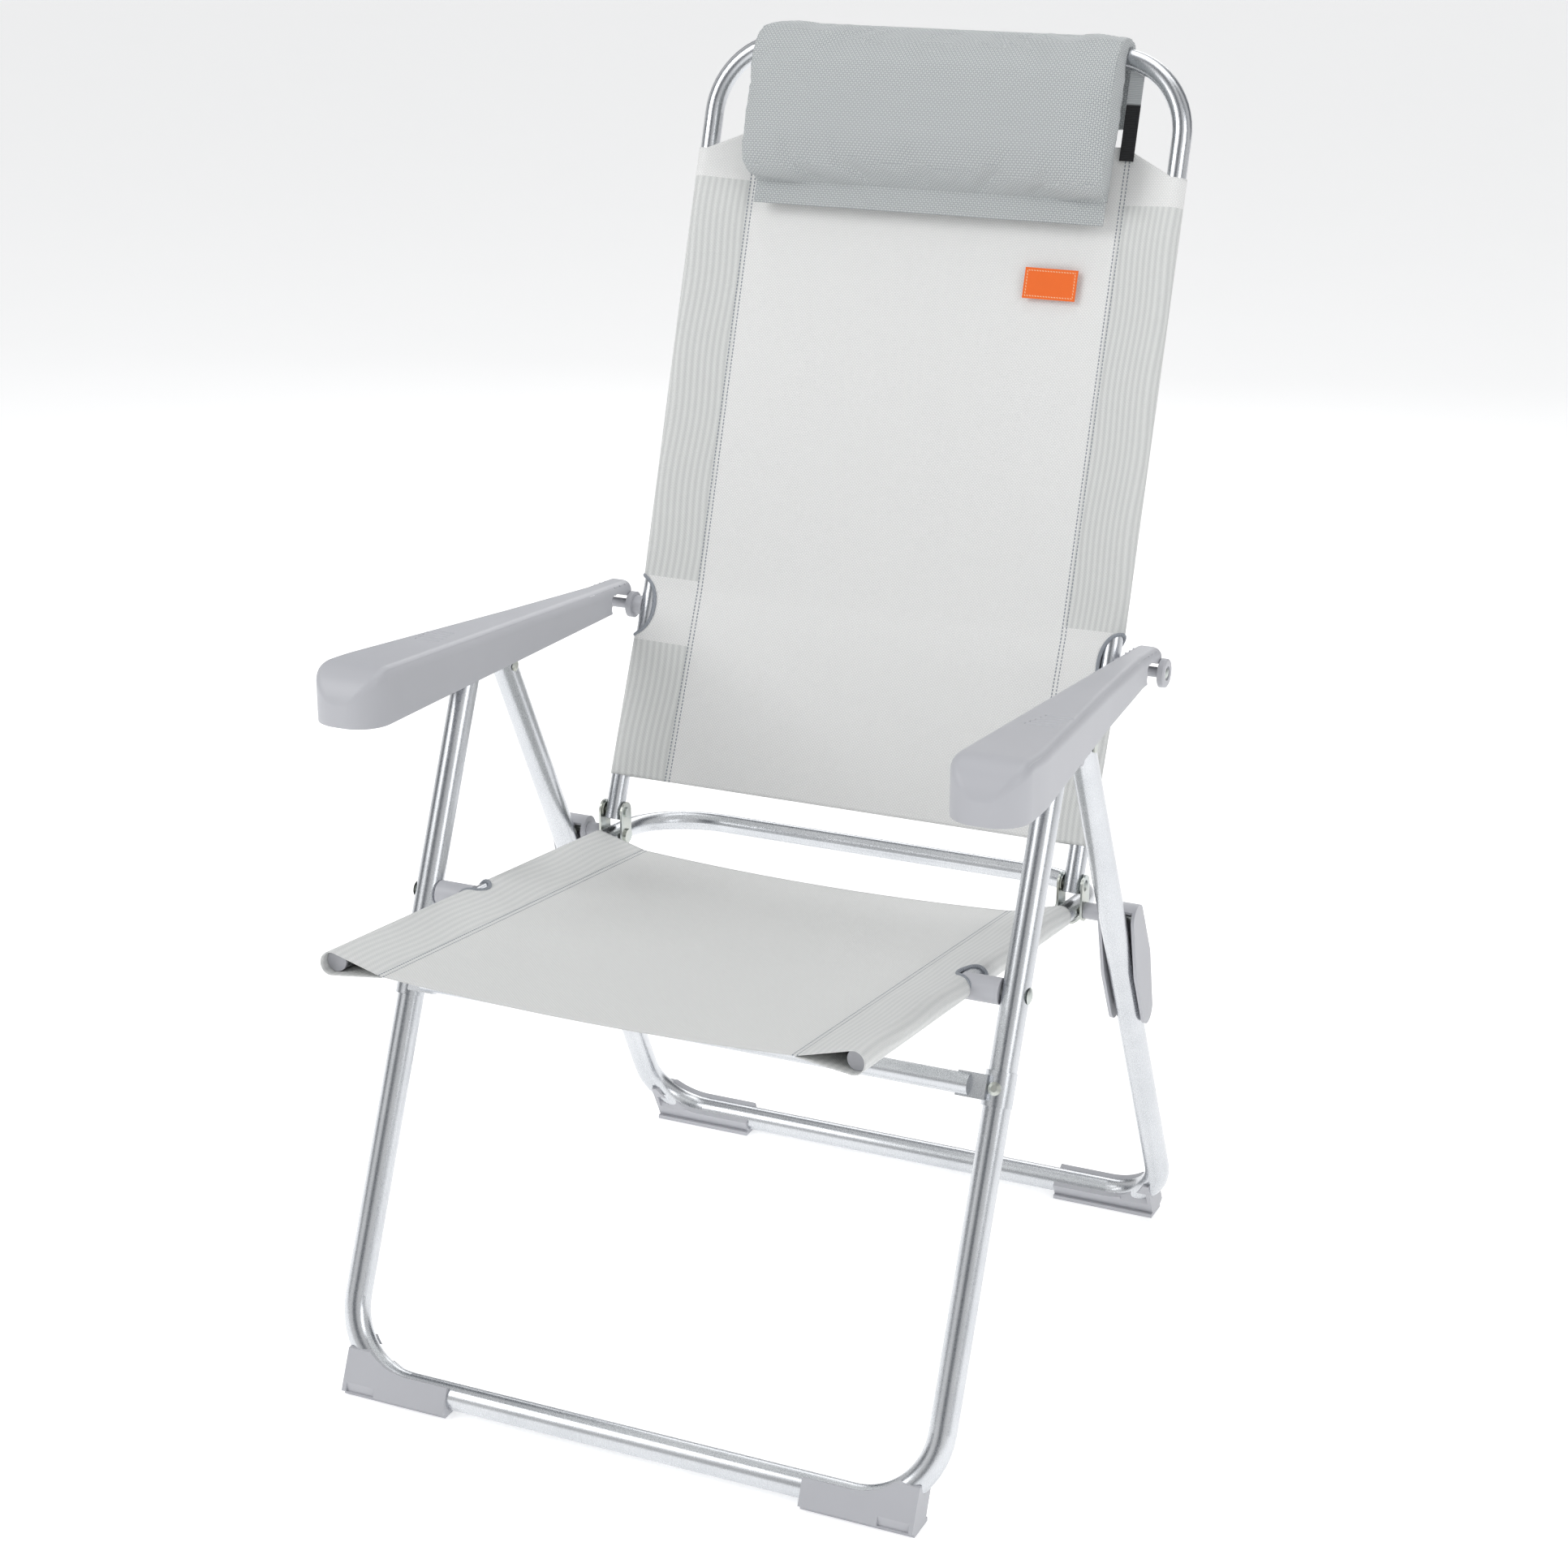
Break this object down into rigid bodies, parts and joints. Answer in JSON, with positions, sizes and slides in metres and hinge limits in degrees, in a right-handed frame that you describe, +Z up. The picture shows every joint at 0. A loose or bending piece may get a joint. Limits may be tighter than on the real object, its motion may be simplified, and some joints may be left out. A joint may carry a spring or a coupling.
{
  "type": "folding camp chair",
  "caption": "High-backed folding camp chair with tube frames, woven mesh seat and back, head cushion and reclining notched armrests.",
  "frame": {"origin": "on the floor, under the middle of the overall width and depth", "axes": "+Z up, the sitter faces -Y, +X is the sitter's left seen from above with the front towards -Y; stored open and locked, in the rearmost notch"},
  "size_m": [0.68, 0.817, 1.1967],
  "materials": {
    "tube": "satin anodised",
    "grey_plastic": "fine satin moulding",
    "zinc": "bright zinc plate",
    "mesh": "coated woven mesh",
    "cushion_mesh": "coated woven mesh, closer weave",
    "elastic": "ribbed elastic",
    "label": "blank woven label"
  },
  "bodies": {
    "rear_frame": {"rear_leg_frame": "tube", "rear_foot_left": "grey_plastic", "rear_foot_right": "grey_plastic", "rear_leg_eye_left": "grey_plastic", "rear_leg_eye_right": "grey_plastic", "rear_leg_rivets": "zinc"},
    "armrest_left": {"armrest_left": "grey_plastic", "arm_pins_left": "zinc"},
    "armrest_right": {"armrest_right": "grey_plastic", "arm_pins_right": "zinc"},
    "front_frame": {"front_leg_frame": "tube", "front_foot_left": "grey_plastic", "front_foot_right": "grey_plastic", "front_cross_rail": "tube", "cross_rail_rivets": "zinc", "front_leg_caps": "grey_plastic"},
    "seat": {"seat_frame": "tube", "seat_rail_caps": "grey_plastic", "seat_cover": "mesh", "seat_spacer_left": "grey_plastic", "seat_spacer_right": "grey_plastic", "seat_rivets": "zinc", "pin_spacer_left": "grey_plastic", "pin_spacer_right": "grey_plastic", "hinge_bracket_left": "zinc", "hinge_bracket_right": "zinc", "guide_pins": "zinc"},
    "backrest": {"back_frame": "tube", "back_cover": "mesh", "head_cushion": "cushion_mesh", "cover_straps": "elastic", "back_label": "label", "stud_boss_left": "grey_plastic", "stud_boss_right": "grey_plastic", "stud_sleeves": "grey_plastic", "stud_cap_left": "grey_plastic", "stud_cap_right": "grey_plastic", "stud_rivets": "zinc"},
    "guide_left": {"slide_guide_left": "grey_plastic"},
    "guide_right": {"slide_guide_right": "grey_plastic"},
    "back_mount": {"back_rivets": "zinc", "back_washers": "zinc"}
  },
  "joints": [
    {"name": "armrest_left_turn", "type": "hinge", "parent": "rear_frame", "child": "armrest_left", "pos_m": [0, -0.02326, 0.63997], "axis": [-1, 0, 0], "range_deg": [0, 41.9]},
    {"name": "armrest_right_turn", "type": "hinge", "parent": "rear_frame", "child": "armrest_right", "pos_m": [0, -0.02326, 0.63997], "axis": [-1, 0, 0], "range_deg": [0, 41.9]},
    {"name": "front_leg_turn", "type": "hinge", "parent": "armrest_left", "child": "front_frame", "pos_m": [0, -0.07926, 0.62787], "axis": [1, 0, 0], "range_deg": [0, 87]},
    {"name": "fold", "type": "hinge", "parent": "front_frame", "child": "seat", "pos_m": [0, -0.16414, 0.4336], "axis": [-1, 0, 0], "range_deg": [0, 87]},
    {"name": "back_turn", "type": "hinge", "parent": "armrest_left", "child": "back_mount", "pos_m": [0, 0.20653, 0.62132], "axis": [1, 0, 0], "range_deg": [0, 87]},
    {"name": "recline", "type": "hinge", "parent": "back_mount", "child": "backrest", "pos_m": [0, 0.12165, 0.42705], "axis": [1, 0, 0], "range_deg": [0, 9.7]},
    {"name": "guide_left_turn", "type": "hinge", "parent": "seat", "child": "guide_left", "pos_m": [0, 0.12165, 0.40205], "axis": [1, 0, 0], "range_deg": [0, 41.9]},
    {"name": "guide_right_turn", "type": "hinge", "parent": "seat", "child": "guide_right", "pos_m": [0, 0.12165, 0.40205], "axis": [1, 0, 0], "range_deg": [0, 41.9]}
  ],
  "couplings": [
    {"joint": "armrest_left_turn", "follows": "fold", "ratio": 0.48},
    {"joint": "armrest_right_turn", "follows": "fold", "ratio": 0.48},
    {"joint": "front_leg_turn", "follows": "fold", "ratio": 1},
    {"joint": "back_turn", "follows": "fold", "ratio": 1},
    {"joint": "guide_left_turn", "follows": "fold", "ratio": 0.48},
    {"joint": "guide_right_turn", "follows": "fold", "ratio": 0.48}
  ]
}
